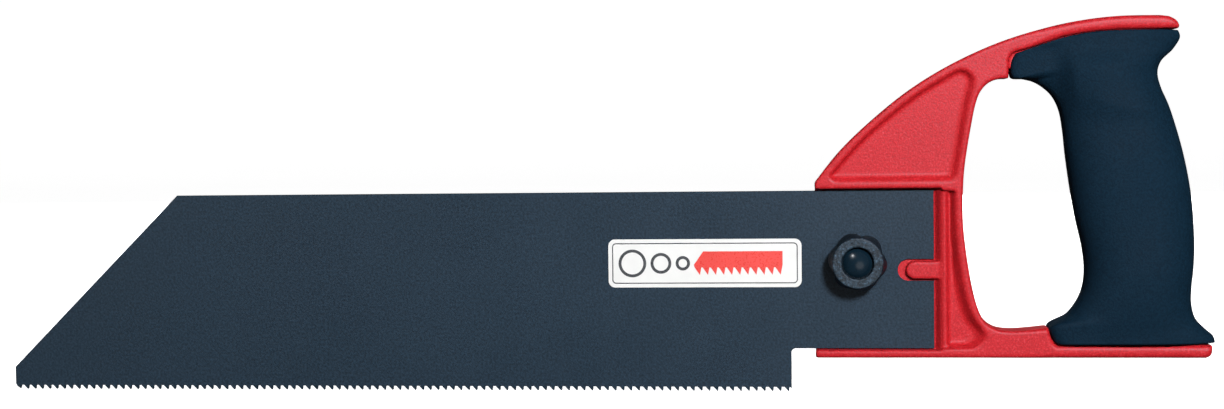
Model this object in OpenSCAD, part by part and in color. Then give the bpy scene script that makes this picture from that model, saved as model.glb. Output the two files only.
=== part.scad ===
// Pull-cut hand saw for plastic pipe: a wide steel blade held on a moulded
// D-handle by one hand knob, with a soft grip moulded round the handle's rear.
//
// Drawing frame: X runs along the saw towards the hand, Y through its
// thickness (the knob is on -Y), Z up. X = 0 is the rear end of the toothed
// edge and Z = 0 runs just above the tooth tips, so every outline below reads
// as a height above the teeth. At the end everything is shifted so that the
// origin is the middle of the hand grip.

/* [Blade] */
// Length of the toothed edge
blade_len = 300; // [280:5:330]
// Thickness of the blade
blade_t = 1.2; // [1:0.1:1.4]
// Distance from one tooth to the next
tooth_pitch = 2.94; // [2:0.02:4]
// Height of a tooth
tooth_depth = 1.6; // [0.8:0.1:2]
// Length of the short upright edge at the tip
tip_edge = 8.2; // [4:0.2:16]
// Radius of the clearance hole for the bolt
blade_hole_r = 3.2; // [3.1:0.05:3.6]
// Width of the locating slot in the tail
slot_w = 8; // [7.2:0.1:8.6]

/* [Label] */
// Length of the label
label_len = 72; // [50:1:74]
// Height of the label
label_h = 18; // [12:1:22]
// Thickness of the label
label_t = 0.12; // [0.1:0.02:0.3]

/* [Handle] */
// Thickness of the handle over its rims
frame_t = 14; // [13:0.5:16]
// Depth of the moulded pockets, measured from the rim
pocket_depth = 3.6; // [3:0.1:3.8]
// Depth of the upper, three-cornered pockets
tri_depth = 2.1; // [1.5:0.1:3.6]
// Depth of the blade seat, measured from the front rim
seat_depth = 4.8; // [4.4:0.1:5.2]
// How far the locating tongue stands off the seat
tongue_h = 2.6; // [1.8:0.1:3.2]
// How far the upright rib stands off the seat
rib_h = 3.2; // [2:0.1:4]
// Thickness of the spine inside the grip
spine_t = 10; // [8:1:12]

/* [Soft grip] */
// Thickness of the grip, as a share of the drawn thickness
grip_swell = 1.0; // [0.9:0.05:1.1]
// Roundness of the grip's section: 2 is an ellipse, higher is squarer
grip_square = 2.3; // [2:0.1:3]

/* [Knob and bolt] */
// Height of the knob
knob_h = 13; // [12.5:0.5:15]
// Radius of the knob over its lobes
knob_r = 10.8; // [10.6:0.1:12]
// Depth of the hollows between the lobes
knob_hollow = 1.3; // [0.6:0.1:1.8]
// Number of lobes
knob_lobes = 6; // [5:1:8]
// Outer radius of the bolt's thread
bolt_r = 2.95; // [2.9:0.01:2.98]
// Radius of the hole in the threaded insert
insert_bore_r = 3.0; // [2.99:0.01:3.03]
// Thickness of the pressure washer
washer_t = 1.2; // [1:0.1:1.6]
// Outer radius of the pressure washer
washer_r = 9; // [8:0.1:9.4]

/* [Hidden] */

$fn = 64;
eps = 0.01;

// Where the origin of the part lies in the drawing frame.
grip_mid = [123, 74];

// Heights and stations of the blade.
blade_h = 74.1;      // back edge of the blade
tooth_z = -0.4;      // tooth tips
tail_z = 15.6;       // underside of the tail that lies in the handle
tail_x = 52.5;       // rear edge of the blade
slot_x = 39.3;       // inner end of the locating slot
slot_z = 44.6;       // middle of the slot and of the tongue
bolt_x = 24.6;       // axis of the clamp bolt
bolt_z = 48.0;

// Levels through the thickness.
front = -frame_t / 2;
back = frame_t / 2;
seat_y = front + seat_depth;          // face that the blade lies on
blade_front = seat_y - blade_t;       // front face of the blade
back_floor = back - pocket_depth;     // floor of the rear pockets
knob_y = blade_front - washer_t;      // face that the knob bears on
bolt_out = 9.5;                       // bolt beyond the washer, in the knob

// ---------- functions ----------

// One point of a smooth curve between p1 and p2.
function cr(p0, p1, p2, p3, t) =
  0.5 * (2 * p1 + (p2 - p0) * t + (2 * p0 - 5 * p1 + 4 * p2 - p3) * t * t
         + (3 * p1 - p0 - 3 * p2 + p3) * t * t * t);

// A smooth curve through all points of p, with n steps between two points.
function curve(p, n) = [
  for (i = [0:len(p) - 2]) for (k = [0:n - 1])
    cr(p[max(i - 1, 0)], p[i], p[i + 1], p[min(i + 2, len(p) - 1)], k / n),
  p[len(p) - 1]];

// The same curve at parameter v from 0 to 1.
function along(p, v) =
  let (s = min(max(v, 0), 1) * (len(p) - 1), i = min(floor(s), len(p) - 2))
    cr(p[max(i - 1, 0)], p[i], p[i + 1], p[min(i + 2, len(p) - 1)], s - i);

function unit(v) = v / norm(v);

// A polygon with corner i rounded to radius r[i], in n steps.
function rounded(p, r, n = 6) = [
  for (i = [0:len(p) - 1])
    let (a = p[(i + len(p) - 1) % len(p)], b = p[i], c = p[(i + 1) % len(p)],
         u = unit(a - b), w = unit(c - b), half = acos(u * w) / 2,
         d = r[i] / tan(half), m = unit(u + w), o = b + m * r[i] / sin(half))
    each r[i] == 0 ? [b] :
      [for (k = [0:n])
         let (s = b + u * d - o, e = b + w * d - o, q = unit(s * (1 - k / n) + e * (k / n)))
         o + q * r[i]]];

function mix(a, b, t) = a * (1 - t) + b * t;
function ease(t) = let (s = min(max(t, 0), 1)) s * s * (3 - 2 * s);

// ---------- helpers ----------

// Shift from the drawing frame to the part's own frame.
module place() { translate([-grip_mid[0], 0, -grip_mid[1]]) children(); }

// An outline in X and Z, made solid from y0 to y1.
module slab(y0, y1) {
  translate([0, y1, 0]) rotate([90, 0, 0]) linear_extrude(height = y1 - y0) children();
}

// Puts a shape that is drawn along +Z on the bolt's axis, standing towards -Y from y.
module on_axis(y) { translate([bolt_x, y, bolt_z]) rotate([90, 0, 0]) children(); }

// ---------- blade ----------

teeth = floor((blade_len - 2) / tooth_pitch);
teeth_x0 = -teeth * tooth_pitch - 0.9;

// The toothed edge, from the tip towards the handle: a flat gullet, then the
// long flank that falls towards the handle, then the steep flank that faces it.
gullet = tooth_pitch * 0.4;
tooth_line = [for (i = [0:teeth - 1]) each [
  [teeth_x0 + i * tooth_pitch + 0.1, tooth_z + tooth_depth],
  [teeth_x0 + i * tooth_pitch + gullet, tooth_z + tooth_depth],
  [teeth_x0 + (i + 1) * tooth_pitch - 0.3, tooth_z],
  [teeth_x0 + (i + 1) * tooth_pitch - 0.05, tooth_z + 0.1]]];

nose = blade_h - tip_edge;
blade_outline = concat(
  [[-blade_len + 0.6, 0.7], [teeth_x0 - 0.3, tooth_z]],
  tooth_line,
  [[-0.8, tooth_z + tooth_depth], [0, tooth_z + tooth_depth * 0.7]],
  [for (a = [0:15:90]) [1.6 - 1.6 * cos(a), tail_z - 1.6 + 1.6 * sin(a)]],
  [[tail_x, tail_z], [tail_x, blade_h],
   [-blade_len + nose, blade_h],
   [-blade_len, tip_edge], [-blade_len, 1.8]]);

module blade() {
  color([0.19, 0.24, 0.29])
  place() difference() {
    slab(blade_front, seat_y) polygon(blade_outline);
    on_axis(seat_y + 1) cylinder(r = blade_hole_r, h = blade_t + 2);
    slab(blade_front - 1, seat_y + 1) {
      translate([slot_x + slot_w / 2, slot_z]) circle(r = slot_w / 2);
      translate([slot_x + slot_w / 2, slot_z - slot_w / 2])
        square([tail_x - slot_x, slot_w]);
    }
  }
}

module blade_label() {
  lx = -32; lz = 47.4;
  color([0.93, 0.93, 0.92])
  place() slab(blade_front - label_t, blade_front)
    polygon(rounded([[lx - label_len / 2, lz - label_h / 2], [lx + label_len / 2, lz - label_h / 2],
                     [lx + label_len / 2, lz + label_h / 2], [lx - label_len / 2, lz + label_h / 2]],
                    [2.5, 2.5, 2.5, 2.5]));
}

// ---------- handle ----------

// Outside of the handle, from its front corner over the top to the rear.
top_line = [[9, 77.2], [18.3, 88.7], [30.3, 100.1], [44.2, 111.1], [59.2, 120.1],
            [76.1, 127.6], [93.1, 132.7], [107, 135.4], [120, 136.6], [133.6, 136.6]];

// Underside of the top strip, from the grip's tab to the rear.
strip_line = [[82.2, 124.2], [87, 125.5], [93, 127.4], [99, 129.3], [105, 130.5],
              [111, 131.2], [119, 131.7], [138.6, 131.7]];

// Front side of the hand opening, from its top to its bottom.
opening_line = [[79.6, 114.4], [76, 114.3], [72.2, 112.8], [69.3, 109.5], [67.5, 104.5],
                [66, 97], [64.6, 89], [63.5, 81], [63, 72], [63, 63], [63.6, 55],
                [64.8, 46], [66.2, 38], [68, 31], [70.5, 26], [74.5, 23.1], [80, 22.3],
                [87, 22.7], [93.2, 23.4]];

frame_outline = concat(
  [[9, 12.4]],
  curve(top_line, 4),
  [[136.8, 136.2], [138.9, 135.1], [139.9, 134], [140.4, 132.8]],
  [[160, 125], [151.9, 17.1]],
  [[151.9, 14.6], [151.3, 13.2], [149.8, 12.4]]);

// Everything behind the front of the hand opening and between the two strips.
void_outline = concat(
  curve(opening_line, 3),
  [[93.4, 22.4], [93.5, 21.7], [93.7, 20.7], [94.0, 19.8], [94.8, 18.3], [95.8, 17.1],
   [165, 17.1], [165, 131.7]],
  [for (i = [len(strip_line) - 1:-1:0]) strip_line[i]],
  [[80.4, 123.2], [79.6, 121]]);

// Rounded rear end of the top strip, taken off the outline above.
strip_end = [[140.4, 132.8], [140.2, 131.9], [139.8, 131.7], [138.6, 120], [165, 120], [165, 132.8]];

// The spine that the soft grip is moulded round, with its two feet in the strips.
spine_outline = [
  [79, 118], [90, 118.2], [98, 114], [104, 106], [106.5, 96], [108, 84], [110, 70],
  [112.5, 56], [113.4, 45], [111.8, 36], [107, 28], [101, 22.5], [96, 20.4], [92, 20.2],
  [92, 17], [143, 17], [140, 24], [138.4, 32], [138.8, 45], [138.8, 58], [137, 76],
  [133.5, 92], [128, 106], [126.4, 116], [129, 124], [133, 131.8],
  [119, 131.8], [111, 131.3], [99, 129.4], [87, 125.6], [79, 123.4]];

// Upper, three-cornered pocket.
tri_line = concat(
  [[17.4, 77.4], [15.7, 77.8], [14.7, 79], [15, 80.4]],
  curve([[19.2, 85.2], [24.6, 91.1], [32.5, 98.4], [46, 108.9], [57, 115.5]], 3),
  [[60, 117.2], [62.2, 117.9], [64.4, 117.7], [66.3, 116.4], [67.3, 114.5], [67.2, 112.2],
   [65.6, 106], [64, 98], [62.6, 89], [61.2, 80.8]],
  [[60.6, 78.9], [59.4, 77.7], [57.8, 77.4]]);

// Pocket between the upright rib and the hand opening.
side_line = concat(
  [[57.3, 16.6], [58, 15.9], [66.8, 15.9], [69.8, 16.8], [71.2, 18.6], [71.2, 20.6]],
  curve([[69.6, 23.4], [66.8, 27.4], [64.6, 33.5], [62.9, 41], [61.7, 49], [61, 57],
         [60.6, 66], [60.5, 73.2]], 2),
  [[60.1, 73.8], [57.8, 73.8], [57.3, 73.2]]);

// Rear pocket behind the blade seat.
rear_line = concat(
  rounded([[11.6, 15.9], [11.6, 74.2], [57, 74.2]], [0, 2, 0]),
  [[59.8, 73.6], [60.6, 72.2]],
  curve([[60.7, 66], [61, 57], [61.7, 49], [62.9, 41], [64.6, 33.5], [66.8, 27.4], [69.6, 23.4]], 2),
  [[71.2, 20.6], [71.2, 18.6], [69.8, 16.8], [66.8, 15.9]]);

// Stiffening ribs across the rear pocket, and the boss round the bolt.
module rear_ribs() {
  intersection() {
    polygon(rear_line);
    union() {
      for (a = [38, 142, 218, 322])
        translate([bolt_x, bolt_z]) rotate(a) translate([0, -0.9]) square([70, 1.8]);
      translate([bolt_x, bolt_z]) circle(r = 11);
    }
  }
}

module handle_frame() {
  color([0.82, 0.12, 0.15])
  place() difference() {
    union() {
      slab(front, back) difference() {
        polygon(frame_outline);
        polygon(void_outline);
        polygon(strip_end);
      }
      slab(-spine_t / 2, spine_t / 2) polygon(spine_outline);
      // locating tongue and upright rib on the seat
      slab(seat_y - tongue_h, seat_y + 1) {
        translate([42.3 + 3.25, slot_z]) circle(r = 3.25);
        translate([42.3 + 3.25, slot_z - 3.25]) square([10, 6.5]);
      }
    }
    // blade seat, open to the front
    slab(front - 1, seat_y) difference() {
      translate([5, 15.3]) square([49.8, 59.5]);
      translate([42.3 + 3.25, slot_z]) circle(r = 3.25);
      translate([42.3 + 3.25, slot_z - 3.25]) square([20, 6.5]);
    }
    slab(front - 1, seat_y - tongue_h) translate([40, slot_z - 4]) square([14.8, 8]);
    // the upright rib stays a little lower than the rims
    slab(front - 1, seat_y - rib_h) translate([54.7, 15.9]) square([3.3, 57.9]);
    // pockets
    slab(front - 1, front + tri_depth) polygon(tri_line);
    slab(front - 1, front + pocket_depth) polygon(side_line);
    slab(back - tri_depth, back + 1) polygon(tri_line);
    slab(back - pocket_depth, back + 1) difference() {
      polygon(rear_line);
      rear_ribs();
    }
    // seat of the bolt's head, square hole for its neck, and hole for its shank
    slab(back_floor, back + 1) translate([bolt_x, bolt_z]) circle(r = 7.8);
    slab(back_floor - 3, back_floor + 1) translate([bolt_x - 3, bolt_z - 3]) square([6, 6]);
    on_axis(back) cylinder(r = 3.2, h = frame_t);
  }
}

// ---------- soft grip ----------

// Sections of the grip from its foot to its top: the point under the fingers,
// the point in the palm, and half the thickness near each of them.
grip_at = [
  [96.2, 17.4, 153.7, 17.6, 10.2, 10.2],
  [94.5, 19.9, 152.8, 20.2, 10.4, 10.5],
  [93.9, 23.8, 149.6, 23.1, 10.9, 11.2],
  [99.8, 27.6, 146.4, 26.8, 11.8, 12.1],
  [103.8, 32.4, 145.1, 32.0, 12.8, 13.0],
  [106.2, 38.0, 145.2, 38.0, 13.6, 13.6],
  [106.9, 45.0, 145.9, 45.0, 14.0, 14.0],
  [106.0, 53.0, 146.2, 53.0, 14.0, 14.0],
  [104.1, 61.5, 145.9, 62.0, 14.0, 14.0],
  [102.5, 70.0, 145.2, 70.5, 14.0, 14.0],
  [101.2, 78.5, 143.9, 79.0, 13.8, 13.9],
  [100.1, 87.0, 142.1, 87.5, 13.4, 13.7],
  [99.3, 95.0, 139.8, 96.0, 12.8, 13.3],
  [98.0, 102.5, 137.2, 104.0, 12.0, 12.9],
  [95.2, 108.2, 134.3, 110.8, 11.0, 12.5],
  [90.4, 112.3, 133.2, 116.0, 10.2, 12.1],
  [85.6, 114.1, 134.6, 120.3, 9.6, 11.7],
  [80.9, 114.8, 138.6, 124.2, 9.3, 11.3],
  [80.4, 119.6, 141.2, 128.4, 9.2, 11.0],
  [81.9, 123.4, 140.6, 131.2, 9.2, 10.8]];

// Upper edge of the grip, evenly spaced, just under the top strip.
grip_top = [[81.9, 123.4], [90.3, 126.3], [98.7, 128.9], [107.1, 130.5], [115.5, 131.2],
            [123.9, 131.4], [132.2, 131.4], [140.6, 131.2]];

grip_nu = 20;                       // steps from finger side to palm side
grip_nv = 3 * (len(grip_at) - 1);   // steps from foot to top

// The front of the top and the tip of the foot are flat-sided, to cover the spine.
function grip_e(u, v) =
  grip_square + (1 - ease(u * 3)) * (5 * ease((v - 0.76) / 0.08) + 4 * ease((0.17 - v) / 0.06));

function grip_pt(u, v, side) =
  let (s = along(grip_at, v), f = [s[0], s[1]], p = [s[2], s[3]],
       top = along(grip_top, u) - mix(grip_top[0], grip_top[len(grip_top) - 1], u),
       q = mix(f, p, u) + top * pow(v, 4),
       e = grip_e(u, v),
       t = mix(s[4], s[5], ease(u * 1.4 - 0.1)) * grip_swell
           * pow(max(1 - pow(abs(2 * u - 1), e), 0), 1 / e))
  [q[0], side * t, q[1]];

// Rings of points, one per height: front side from finger to palm, then the
// rear side back again. The two edge points are shared.
grip_ring_n = 2 * grip_nu;
grip_points = [for (j = [0:grip_nv]) for (i = [0:grip_ring_n - 1])
  let (k = i <= grip_nu ? i : grip_ring_n - i, u = (1 - cos(180 * k / grip_nu)) / 2)
    grip_pt(u, j / grip_nv, i <= grip_nu ? -1 : 1)];

grip_faces = concat(
  [for (j = [0:grip_nv - 1]) for (i = [0:grip_ring_n - 1])
    let (a = j * grip_ring_n + i, b = j * grip_ring_n + (i + 1) % grip_ring_n,
         c = b + grip_ring_n, d = a + grip_ring_n)
    each [[a, c, b], [a, d, c]]],
  // foot and top, closed by strips between the front and rear edges
  [for (k = [0:grip_nu - 1])
    let (a = k, b = k + 1, c = (grip_ring_n - k - 1) % grip_ring_n, d = (grip_ring_n - k) % grip_ring_n)
    each (k == 0 ? [[a, b, c]] : k == grip_nu - 1 ? [[a, b, d]] : [[a, b, c], [a, c, d]])],
  let (o = grip_nv * grip_ring_n)
  [for (k = [0:grip_nu - 1])
    let (a = k, b = k + 1, c = (grip_ring_n - k - 1) % grip_ring_n, d = (grip_ring_n - k) % grip_ring_n)
    each (k == 0 ? [[o + a, o + c, o + b]] : k == grip_nu - 1 ? [[o + a, o + d, o + b]]
          : [[o + a, o + c, o + b], [o + a, o + d, o + c]])]);

module soft_grip() {
  color([0.08, 0.16, 0.22])
  place() difference() {
    polyhedron(points = grip_points, faces = grip_faces, convexity = 6);
    slab(-spine_t / 2, spine_t / 2) polygon(spine_outline);
  }
}

// ---------- bolt, washer and knob ----------

module clamp_bolt() {
  head_h = 3.2; head_r = 7;
  ball_r = (head_r * head_r + head_h * head_h) / (2 * head_h);
  color([0.72, 0.73, 0.75])
  place() union() {
    intersection() {
      on_axis(back_floor + head_h) cylinder(r = head_r, h = head_h);
      translate([bolt_x, back_floor + head_h - ball_r, bolt_z]) sphere(r = ball_r);
    }
    slab(back_floor - 3, back_floor) translate([bolt_x - 3, bolt_z - 3]) square([6, 6]);
    on_axis(back_floor - 3 + eps) cylinder(r = bolt_r, h = back_floor - 3 + eps - knob_y + bolt_out - 0.8);
    on_axis(knob_y - bolt_out + 0.8) cylinder(r1 = bolt_r, r2 = bolt_r - 0.8, h = 0.8);
  }
}

module pressure_washer() {
  color([0.75, 0.76, 0.78])
  place() difference() {
    on_axis(blade_front) cylinder(r = washer_r, h = washer_t);
    on_axis(blade_front + 1) cylinder(r = 3.2, h = washer_t + 2);
  }
}

// Outline of the knob: broad lobes with narrow hollows between them.
star = [for (i = [0:knob_lobes * 10 - 1])
  let (a = 36 * i / knob_lobes,
       r = knob_r - knob_hollow * (1 - pow((1 + cos(a * knob_lobes)) / 2, 0.6)))
  [r * cos(a - 9), r * sin(a - 9)]];

insert_z0 = 0.6; insert_h = 8.4; insert_r = 5.2;
cap_z = knob_h - 2.7; cap_r = 5.4; cap_h = 2.5;

module knob_body() {
  color([0.16, 0.19, 0.23])
  place() on_axis(knob_y) difference() {
    intersection() {
      union() {
        cylinder(r = 9.4, h = 2.2);
        translate([0, 0, 2]) linear_extrude(height = knob_h - 2) polygon(star);
      }
      // rounded lower edge, and a cone that brings the lobes in to a round face
      rotate_extrude() polygon([[0, 0], [9.4, 0], [9.4, 2], [knob_r - 0.7, 2], [knob_r + 0.4, 3.1],
        [knob_r + 0.4, knob_h / 2 - 0.5], [knob_r - 1.4, knob_h - 0.6],
        [knob_r - 1.8, knob_h], [0, knob_h]]);
    }
    translate([0, 0, -1]) cylinder(r = insert_r, h = insert_z0 + insert_h + 1, $fn = 6);
    translate([0, 0, -1]) cylinder(r = 3.4, h = knob_h);
    translate([0, 0, cap_z]) cylinder(r = 5.8, h = knob_h);
  }
}

module knob_insert() {
  color([0.80, 0.64, 0.32])
  place() on_axis(knob_y) difference() {
    translate([0, 0, insert_z0]) cylinder(r = insert_r, h = insert_h, $fn = 6);
    cylinder(r = insert_bore_r, h = knob_h);
  }
}

module knob_cap() {
  ball_r = (cap_r * cap_r + 2.1 * 2.1) / (2 * 2.1);
  color([0.06, 0.08, 0.10])
  place() on_axis(knob_y) translate([0, 0, cap_z]) intersection() {
    cylinder(r = cap_r, h = cap_h);
    translate([0, 0, cap_h - ball_r]) sphere(r = ball_r);
  }
}

blade();
blade_label();
handle_frame();
soft_grip();
clamp_bolt();
pressure_washer();
knob_body();
knob_insert();
knob_cap();
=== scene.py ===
import math

import bpy
import numpy as np
from mathutils import Matrix, Vector
from mathutils.geometry import tessellate_polygon


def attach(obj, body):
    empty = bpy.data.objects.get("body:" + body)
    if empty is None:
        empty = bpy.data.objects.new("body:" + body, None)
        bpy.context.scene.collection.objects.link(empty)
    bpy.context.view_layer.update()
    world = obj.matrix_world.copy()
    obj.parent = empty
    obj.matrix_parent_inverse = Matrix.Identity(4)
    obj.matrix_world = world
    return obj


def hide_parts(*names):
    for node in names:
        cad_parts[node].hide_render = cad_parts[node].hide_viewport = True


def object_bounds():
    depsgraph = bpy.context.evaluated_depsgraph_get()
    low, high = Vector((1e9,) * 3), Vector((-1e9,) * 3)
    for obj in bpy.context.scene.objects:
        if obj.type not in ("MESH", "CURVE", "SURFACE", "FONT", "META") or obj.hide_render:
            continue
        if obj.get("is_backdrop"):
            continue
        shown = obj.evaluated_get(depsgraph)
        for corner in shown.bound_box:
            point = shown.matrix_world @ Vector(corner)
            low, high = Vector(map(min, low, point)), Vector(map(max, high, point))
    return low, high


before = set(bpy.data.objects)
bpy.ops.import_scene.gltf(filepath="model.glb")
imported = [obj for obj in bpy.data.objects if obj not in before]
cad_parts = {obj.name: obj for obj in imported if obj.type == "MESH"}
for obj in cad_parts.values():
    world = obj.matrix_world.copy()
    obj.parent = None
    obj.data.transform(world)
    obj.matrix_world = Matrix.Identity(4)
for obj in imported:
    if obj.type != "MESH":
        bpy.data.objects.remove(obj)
cad_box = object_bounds()

# ---------------------------------------------------------------- frames ----
# All shapes below are drawn in millimetres in the part's drawing frame (x = 0
# at the rear end of the toothed edge, z = 0 just above the tooth tips) and are
# shifted to the row frame, in metres, when their mesh is made.
OX, OZ = 123.0, 74.0

FRONT, BACK = -7.0, 7.0
SEAT = -2.2            # face the blade lies on
BLADE_T = 1.2
BLADE_F = SEAT - BLADE_T
FLOOR_F = FRONT + 3.6  # floor of the front pockets
FLOOR_B = BACK - 3.6
TRI_DEPTH = 2.1        # the three-cornered pockets are shallower
KNOB_Y = BLADE_F - 1.2
BOLT = (24.6, 48.0)
KNOB_H = 13.0


def to_row(co):
    co = np.asarray(co, float).reshape(-1, 3)
    return (co - np.array([OX, 0.0, OZ])) * 0.001


def new_mesh(name, verts, faces, normals=None, smooth=True):
    """A mesh object in the row frame from points in the drawing frame."""
    me = bpy.data.meshes.new(name)
    me.from_pydata(to_row(verts).tolist(), [], [list(map(int, f)) for f in faces])
    me.validate()
    me.update()
    if smooth:
        me.polygons.foreach_set("use_smooth", [True] * len(me.polygons))
    if normals is not None and len(normals) == len(me.vertices):
        me.normals_split_custom_set_from_vertices([tuple(n) for n in normals])
    ob = bpy.data.objects.new(name, me)
    bpy.context.scene.collection.objects.link(ob)
    return ob


# ------------------------------------------------------------ 2D outlines ----
def cr(p0, p1, p2, p3, t):
    p0, p1, p2, p3 = (np.asarray(p, float) for p in (p0, p1, p2, p3))
    return 0.5 * (2 * p1 + (p2 - p0) * t + (2 * p0 - 5 * p1 + 4 * p2 - p3) * t * t
                  + (3 * p1 - p0 - 3 * p2 + p3) * t ** 3)


def curve(p, n):
    out = []
    for i in range(len(p) - 1):
        for k in range(n):
            out.append(cr(p[max(i - 1, 0)], p[i], p[i + 1], p[min(i + 2, len(p) - 1)], k / n))
    out.append(np.asarray(p[-1], float))
    return [tuple(q) for q in out]


def along(p, v):
    s = min(max(v, 0.0), 1.0) * (len(p) - 1)
    i = min(int(math.floor(s)), len(p) - 2)
    return cr(p[max(i - 1, 0)], p[i], p[i + 1], p[min(i + 2, len(p) - 1)], s - i)


TOP_LINE = [(9, 77.2), (18.3, 88.7), (30.3, 100.1), (44.2, 111.1), (59.2, 120.1),
            (76.1, 127.6), (93.1, 132.7), (107, 135.4), (120, 136.6), (133.6, 136.6)]
STRIP_LINE = [(82.2, 124.2), (87, 125.5), (93, 127.4), (99, 129.3), (105, 130.5),
              (111, 131.2), (119, 131.7), (138.6, 131.7)]
OPENING = [(79.6, 114.4), (76, 114.3), (72.2, 112.8), (69.3, 109.5), (67.5, 104.5),
           (66, 97), (64.6, 89), (63.5, 81), (63, 72), (63, 63), (63.6, 55),
           (64.8, 46), (66.2, 38), (68, 31), (70.5, 26), (74.5, 23.1), (80, 22.3),
           (87, 22.7), (93.4, 23.5)]
FRAME = ([(9, 12.4)] + curve(TOP_LINE, 6) + [(136.8, 136.2), (138.9, 135.1), (139.9, 134), (140.4, 132.8)]
         + [(160, 125), (151.9, 17.1)] + [(151.9, 14.6), (151.3, 13.2), (149.8, 12.4)])
VOID = (curve(OPENING, 5) + [(93.9, 22.3), (94.3, 21), (94.7, 19.6), (95.5, 18.1), (96.5, 17.1),
                             (165, 17.1), (165, 131.7)]
        + STRIP_LINE[::-1] + [(80.4, 123.2), (79.6, 121)])
STRIP_END = [(140.4, 132.8), (140.2, 131.9), (139.8, 131.7), (138.6, 120), (165, 120), (165, 132.8)]
SPINE = [(79, 118), (90, 118.2), (98, 114), (104, 106), (106.5, 96), (108, 84), (110, 70),
         (112.5, 56), (113.4, 45), (111.8, 36), (107, 28), (101, 22.5), (96, 20.4), (92, 20.2),
         (92, 17), (143, 17), (140, 24), (138.4, 32), (138.8, 45), (138.8, 58), (137, 76),
         (133.5, 92), (128, 106), (126.4, 116), (129, 124), (133, 131.8),
         (119, 131.8), (111, 131.3), (99, 129.4), (87, 125.6), (79, 123.4)]
TRI = ([(17.4, 77.4), (15.7, 77.8), (14.7, 79), (15, 80.4)]
       + curve([(19.2, 85.2), (24.6, 91.1), (32.5, 98.4), (46, 108.9), (57, 115.5)], 5)
       + [(60, 117.2), (62.2, 117.9), (64.4, 117.7), (66.3, 116.4), (67.3, 114.5), (67.2, 112.2),
          (65.6, 106), (64, 98), (62.6, 89), (61.2, 80.8)]
       + [(60.6, 78.9), (59.4, 77.7), (57.8, 77.4)])
SIDE = ([(57.3, 16.6), (58, 15.9), (66.8, 15.9), (69.8, 16.8), (71.2, 18.6), (71.2, 20.6)]
        + curve([(69.6, 23.4), (66.8, 27.4), (64.6, 33.5), (62.9, 41), (61.7, 49), (61, 57),
                 (60.6, 66), (60.5, 73.2)], 4)
        + [(60.1, 73.8), (57.8, 73.8), (57.3, 73.2)])
REAR = ([(11.6, 15.9), (11.6, 72.2), (12.2, 73.6), (13.6, 74.2), (57, 74.2), (59.8, 73.6), (60.6, 72.2)]
        + curve([(60.7, 66), (61, 57), (61.7, 49), (62.9, 41), (64.6, 33.5), (66.8, 27.4), (69.6, 23.4)], 4)
        + [(71.2, 20.6), (71.2, 18.6), (69.8, 16.8), (66.8, 15.9)])


# ------------------------------------------------- solids from distances ----
def poly_sdf(P, X, Z):
    """Signed distance to a polygon, negative inside."""
    P = np.asarray(P, float)
    best = np.full(X.shape, 1e18)
    sign = np.ones(X.shape)
    for i in range(len(P)):
        a, b = P[i], P[i - 1]
        e = b - a
        ee = float(e @ e)
        if ee < 1e-12:
            continue
        wx, wz = X - a[0], Z - a[1]
        t = np.clip((wx * e[0] + wz * e[1]) / ee, 0, 1)
        bx, bz = wx - e[0] * t, wz - e[1] * t
        best = np.minimum(best, bx * bx + bz * bz)
        c1, c2, c3 = Z >= a[1], Z < b[1], e[0] * wz > e[1] * wx
        sign = np.where((c1 & c2 & c3) | (~c1 & ~c2 & ~c3), -sign, sign)
    return sign * np.sqrt(best)


def box_sdf(X, Z, x0, x1, z0, z1):
    dx, dz = np.abs(X - (x0 + x1) / 2) - (x1 - x0) / 2, np.abs(Z - (z0 + z1) / 2) - (z1 - z0) / 2
    return np.hypot(np.maximum(dx, 0), np.maximum(dz, 0)) + np.minimum(np.maximum(dx, dz), 0)


def inter(a, b, r):
    """Intersection with its edge rounded to radius r."""
    return np.minimum(-r, np.maximum(a, b)) + np.hypot(np.maximum(a + r, 0), np.maximum(b + r, 0))


def join(a, b, r):
    """Union with the inner corner filled to radius r."""
    return -inter(-a, -b, r)


def ease(t):
    t = np.clip(t, 0, 1)
    return t * t * (3 - 2 * t)


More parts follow.
